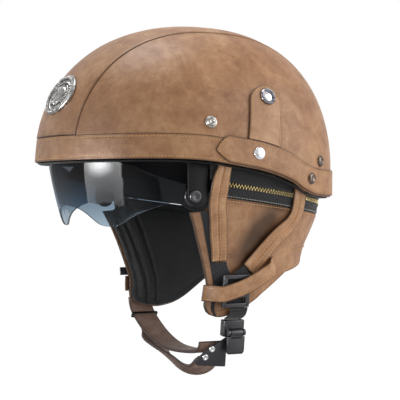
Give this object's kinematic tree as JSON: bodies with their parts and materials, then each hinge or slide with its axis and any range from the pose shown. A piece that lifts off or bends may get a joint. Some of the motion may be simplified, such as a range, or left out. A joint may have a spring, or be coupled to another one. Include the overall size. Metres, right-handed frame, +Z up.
{
  "type": "leather motorcycle half helmet",
  "caption": "Leather-covered half helmet with a drop-down smoke visor, padded ear flaps, a zip-on neck curtain and a buckled chin strap.",
  "frame": {"origin": "middle of the head opening, level with the widest line of the dome", "axes": "+Z up through the crown, -Y towards the front, +X towards the wearer's left"},
  "size_m": [0.2444, 0.2856, 0.3327],
  "materials": {
    "shell": "moulded black",
    "leather": "distressed brown",
    "dark_leather": "soft dark brown",
    "foam": "moulded foam",
    "fabric": "black knit",
    "lens": "smoke tint",
    "plastic": "satin black",
    "chrome": "polished",
    "nickel": "dark nickel",
    "brass": "antique",
    "webbing": "woven",
    "pewter": "aged"
  },
  "bodies": {
    "helmet": {"band_rivet_left": "chrome", "band_rivet_right": "chrome", "buckle_body": "plastic", "comfort_liner": "fabric", "crown_strip": "leather", "curtain_band": "fabric", "ear_flap_left": "leather", "ear_flap_right": "leather", "ear_lining_left": "fabric", "ear_lining_right": "fabric", "foam_liner": "foam", "front_badge": "pewter", "front_strap_left": "leather", "front_strap_right": "leather", "front_webbing_left": "webbing", "front_webbing_right": "webbing", "keeper_band_left": "leather", "keeper_band_right": "leather", "lever_pin": "nickel", "lower_webbing": "webbing", "neck_lining": "fabric", "neck_panel": "leather", "outer_shell": "shell", "rear_band": "leather", "rear_rivet_lower_left": "nickel", "rear_rivet_lower_right": "nickel", "rear_rivet_upper_left": "nickel", "rear_rivet_upper_right": "nickel", "rear_strap_left": "leather", "rear_strap_right": "leather", "rear_webbing_left": "webbing", "rear_webbing_right": "webbing", "rim_band": "leather", "rim_edging": "shell", "side_panel_left": "leather", "side_panel_right": "leather", "snap_stud_left": "chrome", "snap_stud_right": "chrome", "strap_adjuster_left": "plastic", "strap_adjuster_right": "plastic", "vent_eyelet_left": "chrome", "vent_eyelet_right": "chrome", "vent_patch_left": "leather", "vent_patch_right": "leather", "visor_bracket_left": "plastic", "visor_bracket_right": "plastic", "zipper_lower_tape": "fabric", "zipper_teeth": "brass"},
    "visor": {"visor_lens": "lens", "visor_screw_left": "plastic", "visor_screw_right": "plastic"},
    "chin_strap": {"chin_strap": "dark_leather", "chin_pad": "dark_leather", "keeper_loop": "plastic", "buckle_tongue": "plastic", "chin_rivet_upper": "chrome", "chin_rivet_lower": "chrome"},
    "buckle_lever": {"buckle_lever": "plastic"},
    "zipper_slider": {"zipper_slider": "brass"},
    "zipper_pull": {"zipper_pull": "brass"}
  },
  "joints": [
    {"name": "visor_turn", "type": "hinge", "parent": "helmet", "child": "visor", "pos_m": [0, -0.047, -0.024], "axis": [-1, 0, 0], "range_deg": [0, 42]},
    {"name": "chin_strap_swing", "type": "hinge", "parent": "helmet", "child": "chin_strap", "pos_m": [-0.088, -0.011, -0.1262], "axis": [0, 1, 0], "range_deg": [0, 35]},
    {"name": "buckle_lever_turn", "type": "hinge", "parent": "helmet", "child": "buckle_lever", "pos_m": [0.0818, 0.006, -0.14845], "axis": [0, -1, 0], "range_deg": [0, 25], "stiffness_Nm_per_rad": 0.03},
    {"name": "zipper_slide", "type": "hinge", "parent": "helmet", "child": "zipper_slider", "pos_m": [0.101, 0, -0.0152], "axis": [0, -0.1242, -0.9923], "range_deg": [0, 15]},
    {"name": "zipper_pull_swing", "type": "hinge", "parent": "zipper_slider", "child": "zipper_pull", "pos_m": [-0.11116, -0.00406, -0.01469], "axis": [-0.0193, 0.9921, -0.1242], "range_deg": [0, 80]}
  ]
}
